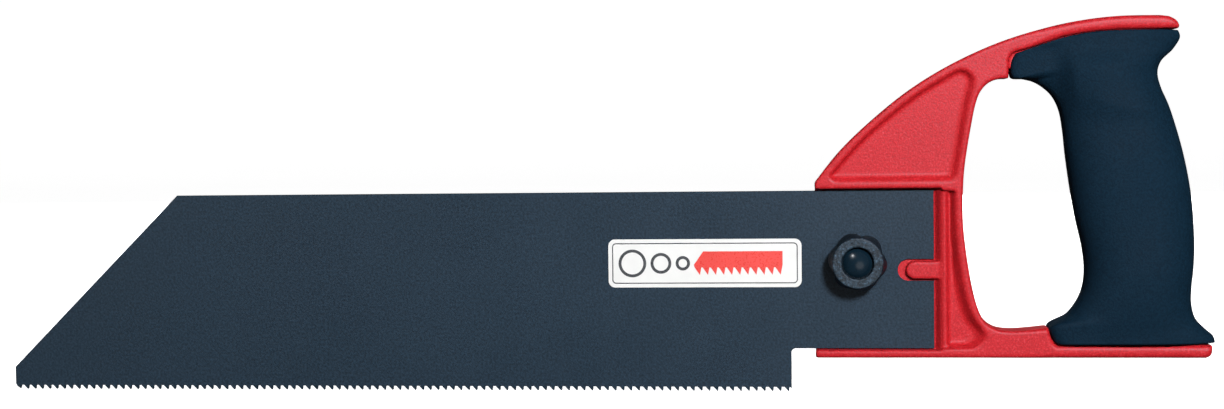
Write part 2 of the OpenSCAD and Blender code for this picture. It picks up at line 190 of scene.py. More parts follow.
def surface(F, origin, h, steps=4):
    """Quads on the zero level of F, with points moved onto it and normals from its slope."""
    inside = F < 0
    total = np.zeros([n - 1 for n in F.shape], np.int8)
    corners = [(i, j, k) for i in (0, 1) for j in (0, 1) for k in (0, 1)]
    sl = lambda c, n: tuple(slice(c[a], n[a] - 1 + c[a]) for a in range(3))
    for c in corners:
        total += inside[sl(c, F.shape)]
    mixed = (total > 0) & (total < 8)
    cells = np.argwhere(mixed)
    index = -np.ones(mixed.shape, int)
    index[mixed] = np.arange(len(cells))
    acc, cnt = np.zeros((len(cells), 3)), np.zeros(len(cells))
    for a in corners:
        for axis in range(3):
            if a[axis]:
                continue
            b = list(a); b[axis] = 1
            fa = F[tuple((cells + np.array(a)).T)]
            fb = F[tuple((cells + np.array(b)).T)]
            hit = (fa < 0) != (fb < 0)
            t = np.where(hit, fa / np.where(hit, fa - fb, 1), 0)
            p = np.array(a, float) + t[:, None] * (np.array(b, float) - np.array(a, float))
            acc[hit] += p[hit]
            cnt[hit] += 1
    pos = cells + acc / cnt[:, None]
    quads = []
    order = {0: ((0, -1, -1), (0, 0, -1), (0, 0, 0), (0, -1, 0)),
             1: ((-1, 0, -1), (-1, 0, 0), (0, 0, 0), (0, 0, -1)),
             2: ((-1, -1, 0), (0, -1, 0), (0, 0, 0), (-1, 0, 0))}
    for axis in range(3):
        lo = [slice(None)] * 3; hi = [slice(None)] * 3
        lo[axis], hi[axis] = slice(0, -1), slice(1, None)
        a, b = inside[tuple(lo)], inside[tuple(hi)]
        e = np.argwhere(a != b)
        ok = np.ones(len(e), bool)
        for k in range(3):
            if k != axis:
                ok &= (e[:, k] > 0) & (e[:, k] < F.shape[k] - 1)
        e = e[ok]
        out = a[tuple(e.T)]
        q = np.stack([index[tuple((e + np.array(o)).T)] for o in order[axis]], 1)
        q[~out] = q[~out][:, ::-1]
        quads.append(q)
    quads = np.concatenate(quads)
    G = np.gradient(F)

    def sample(A, p):
        i = np.clip(np.floor(p).astype(int), 0, np.array(F.shape) - 2)
        f = p - i
        r = 0
        for c in corners:
            w = np.prod([f[:, k] if c[k] else 1 - f[:, k] for k in range(3)], axis=0)
            r = r + w * A[tuple((i + np.array(c)).T)]
        return r

    start = pos.copy()
    for _ in range(steps):
        g = np.stack([sample(G[k], pos) for k in range(3)], 1)
        gg = np.maximum((g * g).sum(1), 0.05)
        move = -(sample(F, pos) / gg)[:, None] * g
        pos = pos + np.clip(move, -0.35, 0.35)
        pos = start + np.clip(pos - start, -0.75, 0.75)
    g = np.stack([sample(G[k], pos) for k in range(3)], 1)
    n = g / np.maximum(np.linalg.norm(g, axis=1), 1e-9)[:, None]
    return np.array(origin) + pos * h, quads, n


def grid(lo, hi, h):
    ax = [np.arange(lo[k], hi[k] + h, h) for k in range(3)]
    return ax[0][:, None, None], ax[1][None, :, None], ax[2][None, None, :]


# -------------------------------------------------------------- materials ----
def material(name, **v):
    m = bpy.data.materials.new(name)
    m.use_nodes = True
    nt = m.node_tree
    nt.nodes.clear()
    out = nt.nodes.new("ShaderNodeOutputMaterial")
    b = nt.nodes.new("ShaderNodeBsdfPrincipled")
    nt.links.new(b.outputs["BSDF"], out.inputs["Surface"])
    for k, val in v.items():
        b.inputs[k.replace("_", " ")].default_value = val
    return m, nt, b


def node(nt, kind, **props):
    n = nt.nodes.new(kind)
    for k, v in props.items():
        if k in ("Scale", "Detail", "Roughness", "Distortion", "Randomness", "Strength", "Distance", "Lacunarity"):
            n.inputs[k].default_value = v
        else:
            setattr(n, k, v)
    return n


def coords(nt, scale=(1, 1, 1), rot=(0, 0, 0)):
    tc = nt.nodes.new("ShaderNodeTexCoord")
    mp = nt.nodes.new("ShaderNodeMapping")
    mp.inputs["Scale"].default_value = scale
    mp.inputs["Rotation"].default_value = rot
    nt.links.new(tc.outputs["Object"], mp.inputs["Vector"])
    return mp.outputs["Vector"]


def ramp(nt, src, stops):
    r = nt.nodes.new("ShaderNodeValToRGB")
    el = r.color_ramp.elements
    while len(el) < len(stops):
        el.new(0.5)
    for e, (p, c) in zip(el, stops):
        e.position = p
        e.color = tuple(c) + ((1,) if len(c) == 3 else ())
    nt.links.new(src, r.inputs["Fac"])
    return r.outputs["Color"]


def spread(nt, src, lo, hi, a, b):
    r = nt.nodes.new("ShaderNodeMapRange")
    r.inputs["From Min"].default_value = lo
    r.inputs["From Max"].default_value = hi
    r.inputs["To Min"].default_value = a
    r.inputs["To Max"].default_value = b
    nt.links.new(src, r.inputs["Value"])
    return r.outputs["Result"]


def bump(nt, b, src, strength, distance, first=None):
    n = nt.nodes.new("ShaderNodeBump")
    n.inputs["Strength"].default_value = strength
    n.inputs["Distance"].default_value = distance
    nt.links.new(src, n.inputs["Height"])
    if first is not None:
        nt.links.new(first, n.inputs["Normal"])
    nt.links.new(n.outputs["Normal"], b.inputs["Normal"])
    return n.outputs["Normal"]


def lin(r, g, b):
    f = lambda c: (c / 255 / 12.92) if c / 255 <= 0.04045 else ((c / 255 + 0.055) / 1.055) ** 2.4
    return (f(r), f(g), f(b))


def scaled(c, k):
    return tuple(min(x * k, 1.0) for x in c)


def red_plastic():
    m, nt, b = material("red_moulded_plastic")
    b.inputs["Specular IOR Level"].default_value = 0.17
    v = coords(nt)
    grain = node(nt, "ShaderNodeTexNoise", Scale=1400, Detail=3, Roughness=0.6)
    cloud = node(nt, "ShaderNodeTexNoise", Scale=60, Detail=3, Roughness=0.55)
    speck = node(nt, "ShaderNodeTexVoronoi", Scale=800, Randomness=1.0)
    for n in (grain, cloud, speck):
        nt.links.new(v, n.inputs["Vector"])
    base = (0.42, 0.0110, 0.0160)
    mix = nt.nodes.new("ShaderNodeMix"); mix.data_type = "RGBA"
    nt.links.new(ramp(nt, cloud.outputs["Fac"], [(0.3, scaled(base, 0.93)), (0.7, scaled(base, 1.07))]), mix.inputs["A"])
    nt.links.new(ramp(nt, grain.outputs["Fac"], [(0.36, scaled(base, 0.68)), (0.58, scaled(base, 1.20)), (0.70, (0.52, 0.060, 0.075))]), mix.inputs["B"])
    mix.inputs["Factor"].default_value = 0.6
    nt.links.new(mix.outputs["Result"], b.inputs["Base Color"])
    nt.links.new(spread(nt, grain.outputs["Fac"], 0.3, 0.7, 0.38, 0.50), b.inputs["Roughness"])
    n1 = bump(nt, b, speck.outputs["Distance"], 0.3, 0.00006)
    bump(nt, b, grain.outputs["Fac"], 0.4, 0.00018, n1)
    return m


def rubber():
    m, nt, b = material("soft_grip_rubber")
    b.inputs["Specular IOR Level"].default_value = 0.05
    v = coords(nt)
    grain = node(nt, "ShaderNodeTexNoise", Scale=1300, Detail=3, Roughness=0.6)
    cloud = node(nt, "ShaderNodeTexNoise", Scale=45, Detail=4, Roughness=0.6)
    for n in (grain, cloud):
        nt.links.new(v, n.inputs["Vector"])
    base = (0.0032, 0.0138, 0.0268)
    mix = nt.nodes.new("ShaderNodeMix"); mix.data_type = "RGBA"
    nt.links.new(ramp(nt, cloud.outputs["Fac"], [(0.3, scaled(base, 0.9)), (0.7, scaled(base, 1.1))]), mix.inputs["A"])
    nt.links.new(ramp(nt, grain.outputs["Fac"], [(0.38, scaled(base, 0.6)), (0.62, scaled(base, 1.4))]), mix.inputs["B"])
    mix.inputs["Factor"].default_value = 0.5
    nt.links.new(mix.outputs["Result"], b.inputs["Base Color"])
    nt.links.new(spread(nt, cloud.outputs["Fac"], 0.3, 0.7, 0.62, 0.74), b.inputs["Roughness"])
    bump(nt, b, grain.outputs["Fac"], 0.7, 0.00025)
    return m


def coated_steel():
    m, nt, b = material("coated_steel")
    b.inputs["Specular IOR Level"].default_value = 0.15
    v = coords(nt)
    grain = node(nt, "ShaderNodeTexNoise", Scale=1200, Detail=3, Roughness=0.65)
    cloud = node(nt, "ShaderNodeTexNoise", Scale=22, Detail=5, Roughness=0.6)
    nt.links.new(v, grain.inputs["Vector"])
    nt.links.new(v, cloud.inputs["Vector"])
    roll = node(nt, "ShaderNodeTexNoise", Scale=1, Detail=2, Roughness=0.6)   # faint rolling lines
    nt.links.new(coords(nt, (25, 900, 1500)), roll.inputs["Vector"])
    base = (0.0112, 0.0232, 0.0375)
    mix = nt.nodes.new("ShaderNodeMix"); mix.data_type = "RGBA"
    nt.links.new(ramp(nt, cloud.outputs["Fac"], [(0.3, scaled(base, 0.88)), (0.7, scaled(base, 1.12))]), mix.inputs["A"])
    nt.links.new(ramp(nt, grain.outputs["Fac"], [(0.36, scaled(base, 0.45)), (0.62, scaled(base, 1.55))]), mix.inputs["B"])
    mix.inputs["Factor"].default_value = 0.6
    nt.links.new(mix.outputs["Result"], b.inputs["Base Color"])
    nt.links.new(spread(nt, cloud.outputs["Fac"], 0.3, 0.7, 0.34, 0.44), b.inputs["Roughness"])
    n1 = bump(nt, b, roll.outputs["Fac"], 0.10, 0.00003)
    bump(nt, b, grain.outputs["Fac"], 0.5, 0.00012, n1)
    return m


def zinc():
    m, nt, b = material("zinc_plated_steel", Metallic=1.0)
    v = coords(nt)
    cloud = node(nt, "ShaderNodeTexNoise", Scale=260, Detail=4, Roughness=0.6)
    grain = node(nt, "ShaderNodeTexNoise", Scale=2500, Detail=2, Roughness=0.5)
    nt.links.new(v, cloud.inputs["Vector"])
    nt.links.new(v, grain.inputs["Vector"])
    nt.links.new(ramp(nt, cloud.outputs["Fac"], [(0.3, (0.46, 0.47, 0.49)), (0.55, (0.60, 0.61, 0.62)), (0.75, (0.52, 0.54, 0.58))]), b.inputs["Base Color"])
    nt.links.new(spread(nt, cloud.outputs["Fac"], 0.3, 0.7, 0.26, 0.42), b.inputs["Roughness"])
    bump(nt, b, grain.outputs["Fac"], 0.15, 0.00004)
    return m


def brass():
    m, nt, b = material("turned_brass", Metallic=1.0)
    grain = node(nt, "ShaderNodeTexNoise", Scale=1, Detail=2, Roughness=0.5)
    nt.links.new(coords(nt, (400, 4000, 400)), grain.inputs["Vector"])
    nt.links.new(ramp(nt, grain.outputs["Fac"], [(0.3, (0.62, 0.40, 0.14)), (0.7, (0.78, 0.55, 0.24))]), b.inputs["Base Color"])
    nt.links.new(spread(nt, grain.outputs["Fac"], 0.3, 0.7, 0.25, 0.38), b.inputs["Roughness"])
    return m


def knob_plastic():
    m, nt, b = material("knob_plastic")
    b.inputs["Specular IOR Level"].default_value = 0.20
    v = coords(nt)
    grain = node(nt, "ShaderNodeTexNoise", Scale=1100, Detail=3, Roughness=0.7)
    speck = node(nt, "ShaderNodeTexVoronoi", Scale=1100)
    nt.links.new(v, grain.inputs["Vector"])
    nt.links.new(v, speck.inputs["Vector"])
    # the flat face is grained and paler; the lobed side carries painted shade, a much darker copy of the grained
    # colour faded in by depth along Y
    sep = nt.nodes.new("ShaderNodeSeparateXYZ")
    nt.links.new(v, sep.inputs["Vector"])
    face_vs_painted_shade = spread(nt, sep.outputs["Y"], -0.001 * (KNOB_H - KNOB_Y) + 0.0001, -0.001 * (KNOB_H - KNOB_Y) + 0.0009, 1.0, 0.0)
    base = (0.0125, 0.0225, 0.0330)
    mix = nt.nodes.new("ShaderNodeMix"); mix.data_type = "RGBA"
    # painted shade: the dark colours of the lobed side
    nt.links.new(ramp(nt, grain.outputs["Fac"], [(0.34, (0.0018, 0.0048, 0.0085)), (0.66, (0.0034, 0.0080, 0.0130))]), mix.inputs["A"])
    nt.links.new(ramp(nt, grain.outputs["Fac"], [(0.38, scaled(base, 0.25)), (0.56, scaled(base, 1.4)), (0.70, scaled(base, 4.0))]), mix.inputs["B"])
    nt.links.new(face_vs_painted_shade, mix.inputs["Factor"])
    nt.links.new(mix.outputs["Result"], b.inputs["Base Color"])
    nt.links.new(spread(nt, grain.outputs["Fac"], 0.3, 0.7, 0.40, 0.54), b.inputs["Roughness"])
    n1 = bump(nt, b, speck.outputs["Distance"], 0.5, 0.0001)
    bump(nt, b, grain.outputs["Fac"], 0.7, 0.0002, n1)
    return m


def cap_plastic():
    m, nt, b = material("cap_plastic")
    b.inputs["Specular IOR Level"].default_value = 0.45
    cloud = node(nt, "ShaderNodeTexNoise", Scale=300, Detail=3, Roughness=0.5)
    nt.links.new(coords(nt), cloud.inputs["Vector"])
    nt.links.new(ramp(nt, cloud.outputs["Fac"], [(0.3, (0.0030, 0.0100, 0.0180)), (0.7, (0.0045, 0.0140, 0.0240))]), b.inputs["Base Color"])
    nt.links.new(spread(nt, cloud.outputs["Fac"], 0.3, 0.7, 0.20, 0.27), b.inputs["Roughness"])
    bump(nt, b, cloud.outputs["Fac"], 0.03, 0.00005)
    return m


def film(name, lo, hi, rough=0.34):
    m, nt, b = material(name)
    cloud = node(nt, "ShaderNodeTexNoise", Scale=120, Detail=4, Roughness=0.6)
    grain = node(nt, "ShaderNodeTexNoise", Scale=1800, Detail=2, Roughness=0.5)
    v = coords(nt)
    nt.links.new(v, cloud.inputs["Vector"])
    nt.links.new(v, grain.inputs["Vector"])
    nt.links.new(ramp(nt, cloud.outputs["Fac"], [(0.3, lo), (0.7, hi)]), b.inputs["Base Color"])
    nt.links.new(spread(nt, grain.outputs["Fac"], 0.3, 0.7, rough - 0.05, rough + 0.06), b.inputs["Roughness"])
    bump(nt, b, grain.outputs["Fac"], 0.08, 0.00003)
    return m


def floor_paper():
    """Pale paper with its own faint, even light."""
    m, nt, b = material("studio_paper")
    b.inputs["Specular IOR Level"].default_value = 0.1
    cloud = node(nt, "ShaderNodeTexNoise", Scale=3, Detail=4, Roughness=0.5)
    nt.links.new(coords(nt), cloud.inputs["Vector"])
    nt.links.new(ramp(nt, cloud.outputs["Fac"], [(0.3, (0.80, 0.80, 0.80)), (0.7, (0.83, 0.83, 0.83))]), b.inputs["Base Color"])
    nt.links.new(spread(nt, cloud.outputs["Fac"], 0.3, 0.7, 0.85, 0.95), b.inputs["Roughness"])
    b.inputs["Emission Color"].default_value = (1, 1, 1, 1)
    b.inputs["Emission Strength"].default_value = 0.92
    return m


# ----------------------------------------------------------------- handle ----
def lean(d, rest, right, below):
    """How much a pocket's wall leans per millimetre of depth, by the way it faces."""
    gx, gz = np.gradient(d[:, 0, :])
    g = np.maximum(np.hypot(gx, gz), 1e-6)
    k = rest + right * np.clip(gx / g, 0, 1) + below * np.clip(-gz / g, 0, 1)
    return k[:, None, :]


def handle():
    h = 0.6
    lo, hi = (7.1, -8.3, 10.6), (153.6, 8.3, 138.4)
    X, Y, Z = grid(lo, hi, h)
    X2, Z2 = np.broadcast_arrays(X[:, 0, :], Z[:, 0, :])
    P = lambda poly: poly_sdf(poly, X2, Z2)[:, None, :]
    d_void = P(VOID)
    body = np.maximum(np.maximum(P(FRAME), -d_void), -P(STRIP_END))
    Xb, Zb = X2[:, None, :], Z2[:, None, :]
    # the rims are lightly rounded; the two strips beside the grip are rounded beams
    r_edge = 1.0 + 0.70 * ease((Xb - 85) / 12)
    F = inter(body, np.abs(Y) - 7.0, r_edge)
    # front: three-cornered pocket and the pocket by the hand opening
    d_tri, d_side = P(TRI), P(SIDE)
    depth_f, depth_b = (Y - FRONT), (BACK - Y)
    lean_tri, lean_side = lean(d_tri, 0.42, 0.48, 0.44), lean(d_side, 0.10, 0.72, 0.26)
    F = inter(F, -inter(d_tri + lean_tri * depth_f, Y - (FRONT + TRI_DEPTH), 0.7), 0.5)
    # low rib between the blade seat and the side pocket
    rib = box_sdf(Xb, Zb, 54.3, 57.8, 15.9, 73.8)
    F = inter(F, -np.maximum(rib, Y - (SEAT - 3.2)), 0.35)
    near_rib = ease(1.6 - np.abs(Xb - 56.05) / 1.6) * ease((Zb - 16.5) / 1.5) * ease((73.2 - Zb) / 1.5)
    r_rib = 0.45 + 0.65 * near_rib
    d_side = d_side + lean_side * depth_f * (1 - near_rib)
    corner = 0.75 * Xb - 0.66 * Zb - 41.0 + 1.05 * depth_f      # rounds the floor's far corner
    d_side = inter(d_side, corner, 2.2)
    F = inter(F, -inter(d_side, Y - FLOOR_F, 1.3), r_rib)
    # blade seat, open to the front end; its rear wall leans back to the rib
    seat = box_sdf(Xb, Zb, -60.0, 55.2, 15.3, 74.8)
    seat = np.maximum(seat, Xb - 55.2 + 0.68 * np.maximum(Y - (SEAT - 3.2), 0))
    F = inter(F, -np.maximum(seat, Y - SEAT), r_rib)
    tongue = np.minimum(np.hypot(Xb - 45.55, Zb - 44.6) - 3.25,
                        box_sdf(Xb, Zb, 45.55, 56.5, 44.6 - 3.25, 44.6 + 3.25))
    T = np.maximum(inter(tongue, (SEAT - 2.6) - Y, 0.5), Y)
    F = join(F, T, 0.25)
    # rear: the same pocket and the ribbed pocket behind the seat
    F = inter(F, -inter(d_tri + lean_tri * depth_b, (BACK - TRI_DEPTH) - Y, 0.7), 0.5)
    ribs = np.hypot(Xb - BOLT[0], Zb - BOLT[1]) - 11.0
    for a in (38, 142, 218, 322):
        c, s = math.cos(math.radians(a)), math.sin(math.radians(a))
        u = (Xb - BOLT[0]) * c + (Zb - BOLT[1]) * s
        w = -(Xb - BOLT[0]) * s + (Zb - BOLT[1]) * c
        ribs = np.minimum(ribs, np.maximum(np.abs(w) - 0.9, -u))
    rear = np.maximum(P(REAR), -ribs)
    F = inter(F, -inter(rear + 0.10 * depth_b, FLOOR_B - Y, 1.0), 0.45)
    # bolt: seat of the head, square hole of the neck, hole of the shank
    rad = np.hypot(Xb - BOLT[0], Zb - BOLT[1])
    F = inter(F, -np.maximum(rad - 7.8, FLOOR_B - Y), 0.4)
    sq = box_sdf(Xb, Zb, BOLT[0] - 3, BOLT[0] + 3, BOLT[1] - 3, BOLT[1] + 3)
    F = np.maximum(F, -np.maximum(sq, (FLOOR_B - 3) - Y))
    F = np.maximum(F, -(rad - 3.2) + 0 * Y)
    # spine inside the grip
    F = np.minimum(F, inter(P(SPINE), np.abs(Y) - 5.0, 0.8))
    v, q, n = surface(F, lo, h)
    return new_mesh("handle_moulding", v, q, n)


# ------------------------------------------------------------------- grip ----
GRIP = [
    (96.2, 17.4, 153.7, 17.6, 10.2, 10.2),
    (94.5, 19.9, 152.8, 20.2, 10.4, 10.5),
    (93.9, 23.8, 149.6, 23.1, 10.9, 11.2),
    (99.8, 27.6, 146.4, 26.8, 11.8, 12.1),
    (103.8, 32.4, 145.1, 32.0, 12.8, 13.0),
    (106.2, 38.0, 145.2, 38.0, 13.6, 13.6),
    (106.9, 45.0, 145.9, 45.0, 14.0, 14.0),
    (106.0, 53.0, 146.2, 53.0, 14.0, 14.0),
    (104.1, 61.5, 145.9, 62.0, 14.0, 14.0),
    (102.5, 70.0, 145.2, 70.5, 14.0, 14.0),
    (101.2, 78.5, 143.9, 79.0, 13.8, 13.9),
    (100.1, 87.0, 142.1, 87.5, 13.4, 13.7),
    (99.3, 95.0, 139.8, 96.0, 12.8, 13.3),
    (98.0, 102.5, 137.2, 104.0, 12.0, 12.9),
    (95.2, 108.2, 134.3, 110.8, 11.0, 12.5),
    (90.4, 112.3, 133.2, 116.0, 10.2, 12.1),
    (85.6, 114.1, 134.6, 120.3, 9.6, 11.7),
    (80.9, 114.8, 138.6, 124.2, 9.3, 11.3),
    (80.4, 119.6, 141.2, 128.4, 9.2, 11.0),
    (81.9, 123.4, 140.6, 131.2, 9.2, 10.8)]
GRIP_TOP = [(81.9, 123.4), (90.3, 126.3), (98.7, 128.9), (107.1, 130.5), (115.5, 131.2),
            (123.9, 131.4), (132.2, 131.4), (140.6, 131.2)]


def grip():
    nu = 60
    ends = [0, 0.0014, 0.0035, 0.0062, 0.0095, 0.0135, 0.018]
    vs = ends + [0.018 + 0.964 * k / 150 for k in range(1, 150)] + [1 - e for e in ends[::-1]]
    top0, top1 = np.array(GRIP_TOP[0]), np.array(GRIP_TOP[-1])
    foot0, foot1 = np.array(GRIP[0][0:2]), np.array(GRIP[0][2:4])
    edge = 0.9
    pts = []
    for v in vs:
        s = along(GRIP, v)
        f, p = s[0:2], s[2:4]
        for i in range(2 * nu):
            k = i if i <= nu else 2 * nu - i
            u = (1 - math.cos(math.pi * k / nu)) / 2
            top = along(GRIP_TOP, u)
            q = f * (1 - u) + p * u + (top - (top0 * (1 - u) + top1 * u)) * v ** 4
            w = float(ease(u * 1.4 - 0.1))
            t = s[4] * (1 - w) + s[5] * w
            # the flat tab under the strip steps up to the full grip across a soft crease
            t = min(t + 2.3 * float(ease((q[0] - 96.5) / 7.5) * ease((126.5 - q[1]) / 9) * ease((q[1] - 96) / 14)), 13.95)
            t -= 1.3 * float(ease((102 - q[0]) / 8) * ease((q[1] - 106) / 6) * ease((129 - q[1]) / 5))
            e = 2.3 + float((1 - ease(u * 3)) * (5 * ease((v - 0.81) / 0.07) + 4 * ease((0.17 - v) / 0.06)))
            t *= max(1 - abs(2 * u - 1) ** e, 0) ** (1 / e)
            # eased edge along the two strips
            d = min(float(np.linalg.norm(q - top)), float(np.linalg.norm(q - (foot0 * (1 - u) + foot1 * u))))
            if d < edge:
                t = max(t - edge + math.sqrt(edge * edge - (edge - d) ** 2), min(t, 0.3))
            pts.append((q[0], -t if i <= nu else t, q[1]))
    pts = np.array(pts)
    n, nv = 2 * nu, len(vs) - 1
    faces = []
    for j in range(nv):
        for i in range(n):
            a, b = j * n + i, j * n + (i + 1) % n
            faces.append((a, a + n, b + n, b))
    for o, flip in ((0, False), (nv * n, True)):
        for k in range(nu):
            a, b, c, d = o + k, o + k + 1, o + (n - k - 1) % n, o + (n - k) % n
            f = (a, b, d) if k == nu - 1 else (a, b, c) if k == 0 else (a, b, c, d)
            faces.append(f[::-1] if flip else f)
    return new_mesh("grip_skin", pts, faces)


# ------------------------------------------------------------------ blade ----
def blade():
    pitch, depth, tip_z, length, height = 2.94, 1.6, -0.4, 300.0, 74.1
    count = int((length - 2) // pitch)
    x0 = -count * pitch - 0.9
    tail_z, tail_x, slot_x, slot_z, slot_r = 15.6, 52.5, 39.3, 44.6, 4.0
    nose = height - 8.2
    root_z = tip_z + depth
    gullet = pitch * 0.4
    roots = [(x0 + i * pitch + d, root_z) for i in range(count) for d in (0.1, gullet)] + [(-0.8, root_z)]
    arc = [(1.6 - 1.6 * math.cos(math.radians(a)), tail_z - 1.6 + 1.6 * math.sin(math.radians(a)))
           for a in range(0, 91, 10)]
    slot = [(slot_x + slot_r - slot_r * math.sin(math.radians(a)),
             slot_z - slot_r * math.cos(math.radians(a))) for a in range(0, 181, 9)]
    outline = ([(x0 - 0.3, tip_z + 0.2)] + roots + [(0, tip_z + depth * 0.7)] + arc
               + [(tail_x - 0.25, tail_z), (tail_x, tail_z + 0.25), (tail_x, slot_z - slot_r)] + slot
               + [(tail_x, slot_z + slot_r), (tail_x, height - 0.25), (tail_x - 0.25, height),
                  (-length + nose, height), (-length, 8.2), (-length, 1.8), (-length + 0.6, 0.7)])
    hole = [(BOLT[0] + 3.2 * math.cos(math.radians(a)), BOLT[1] - 3.2 * math.sin(math.radians(a)))
            for a in range(0, 360, 9)]
    sharp = set(range(1, len(roots) + 1))
    toothed = set(range(2, 2 * count + 1, 2))
    ch = 0.14

    def inset(loop, keep, c):
        out, n = [], len(loop)
        P = np.array(loop, float)
        for i in range(n):
            a, b, d = P[i - 1], P[i], P[(i + 1) % n]
            if i in keep:
                out.append(tuple(b)); continue
            e1, e2 = (b - a) / np.linalg.norm(b - a), (d - b) / np.linalg.norm(d - b)
            n1, n2 = np.array([-e1[1], e1[0]]), np.array([-e2[1], e2[0]])
            m = n1 + n2
            m = m / max(float(m @ m) / 2, 0.35)
            out.append(tuple(b + m * c))
        return out

    loops = [(outline, sharp), (hole, set())]
    verts, faces, caps = [], [], []
    for loop, keep in loops:
        small = inset(loop, keep, ch)
        base = len(verts)
        n = len(loop)
        for y, ring in ((BLADE_F, small), (BLADE_F + ch, loop), (SEAT - ch, loop), (SEAT, small)):
            verts += [(x, y, z) for x, z in ring]
        for lvl in range(3):
            for i in range(n):
                j = (i + 1) % n
                if keep and i in toothed:
                    continue          # a tooth closes this part of the edge
                a, b = base + lvl * n + i, base + lvl * n + j
                faces.append((a, b, b + n, a + n))
        caps.append((base, n, small))
    # the two flat sides
    polys = [[Vector((x, z, 0)) for x, z in c[2]] for c in caps]
    ids = [c[0] + i for c in caps for i in range(c[1])]
    for t in tessellate_polygon(polys):
        f = [ids[i] for i in t]
        a, b, c = (np.array(verts[i])[[0, 2]] for i in f)
        if (b[0] - a[0]) * (c[1] - a[1]) - (b[1] - a[1]) * (c[0] - a[0]) < 0:
            f = f[::-1]
        faces.append(tuple(f))
        back = []
        for i in f:
            for c in caps:
                if c[0] <= i < c[0] + c[1]:
                    back.append(i + 3 * c[1])
        faces.append(tuple(back[::-1]))
    # teeth, set a little to the left and right in turn
    n = len(outline)
    for k in range(count):
        i, j = 2 + 2 * k, 3 + 2 * k
        off = 0.13 if k % 2 else -0.13
        xr = x0 + (k + 1) * pitch - 0.3
        tip, sh = (xr, tip_z), (xr + 0.25, tip_z + 0.1)
        m = len(verts)
        verts += [(tip[0], BLADE_F + off + 0.12, tip[1]), (sh[0], BLADE_F + off + 0.12, sh[1]),
                  (tip[0], SEAT + off - 0.12, tip[1]), (sh[0], SEAT + off - 0.12, sh[1])]
        fi, fj = i, j                     # front root points
        bi, bj = i + 3 * n, j + 3 * n     # rear root points
        faces += [(fi, m, m + 1, fj), (bj, m + 3, m + 2, bi), (fi, fi + n, fi + 2 * n, bi, m + 2, m),
                  (m, m + 2, m + 3, m + 1), (m + 1, m + 3, bj, fj + 2 * n, fj + n, fj)]
    ob = new_mesh("blade_plate", verts, faces, smooth=False)
    merge(ob, 1e-6)
    return ob


def merge(ob, dist):
    """Welds coincident points, drops what has no area and turns all faces outwards."""
    import bmesh
    bm = bmesh.new()
    bm.from_mesh(ob.data)
    bmesh.ops.remove_doubles(bm, verts=bm.verts, dist=dist)
    bmesh.ops.dissolve_degenerate(bm, edges=bm.edges, dist=1e-7)
    bmesh.ops.recalc_face_normals(bm, faces=bm.faces)
    bm.to_mesh(ob.data)
    bm.free()
    ob.data.update()


def plate(name, loops, y0, y1, ch=0.0):
    """A thin plate between y0 and y1 from an outer loop and any holes, all in x and z."""
    verts, faces, ids = [], [], []
    for loop in loops:
        b, n = len(verts), len(loop)
        verts += [(x, y0, z) for x, z in loop] + [(x, y1, z) for x, z in loop]
        faces += [(b + i, b + (i + 1) % n, b + n + (i + 1) % n, b + n + i) for i in range(n)]
        ids += [(b + i, b + n + i) for i in range(n)]
    for t in tessellate_polygon([[Vector((x, z, 0)) for x, z in l] for l in loops]):
        faces.append(tuple(ids[i][0] for i in t))
        faces.append(tuple(ids[i][1] for i in reversed(t)))
    ob = new_mesh(name, verts, faces, smooth=False)
    merge(ob, 1e-7)
    return ob


def rounded_rect(cx, cz, w, hgt, r, n=8):
    pts = []
    for sx, sz, a0 in ((1, -1, -90), (1, 1, 0), (-1, 1, 90), (-1, -1, 180)):
        for k in range(n + 1):
            a = math.radians(a0 + 90 * k / n)
            pts.append((cx + sx * (w / 2 - r) + r * math.cos(a), cz + sz * (hgt / 2 - r) + r * math.sin(a)))
    return pts


def circle(cx, cz, r, n=48):
    return [(cx + r * math.cos(2 * math.pi * k / n), cz + r * math.sin(2 * math.pi * k / n)) for k in range(n)]


def joined(obs, name):
    """Several meshes as one object."""
    import bmesh
    bm = bmesh.new()
    for o in obs:
        bm.from_mesh(o.data)
    me = bpy.data.meshes.new(name)
    bm.to_mesh(me)
    bm.free()
    for o in obs:
        bpy.data.objects.remove(o)
    ob = bpy.data.objects.new(name, me)
    bpy.context.scene.collection.objects.link(ob)
    return ob


def label():
    lx, lz = -32.0, 47.4
    y = BLADE_F
    base = plate("label_film", [rounded_rect(lx, lz, 72, 18, 2.5)], y - 0.12, y)
    p0, p1 = y - 0.145, y - 0.12
    grey, red = [], []
    # frame line, three pipe ends of falling size, and a toothed line under a bar
    grey.append(plate("p", [rounded_rect(lx, lz, 69.2, 15.2, 1.5), rounded_rect(lx, lz, 68.4, 14.4, 1.1)[::-1]], p0, p1))
    x = lx - 27.0
    for r in (5.2, 3.9, 2.7):
        grey.append(plate("p", [circle(x, lz, r), circle(x, lz, r - 1.1)[::-1]], p0, p1))
        x += r + 1.6 + (3.9 if r > 5 else 2.7 if r > 3 else 0)
    x0, x1, n = lx - 4.0, lx + 29.0, 11
    saw = [(x0 + 3.5, lz + 4.4), (x0, lz - 0.6)]
    for k in range(n):
        w = (x1 - x0) / n
        saw += [(x0 + k * w + 0.3, lz - 1.6), (x0 + k * w + w * 0.75, lz - 4.4), (x0 + (k + 1) * w - 0.2, lz - 1.6)]
    saw += [(x1, lz - 0.6), (x1, lz + 4.4)]
    red.append(plate("p", [saw], p0, p1))
    return base, joined(grey, "label_print_grey"), joined(red, "label_print_red")


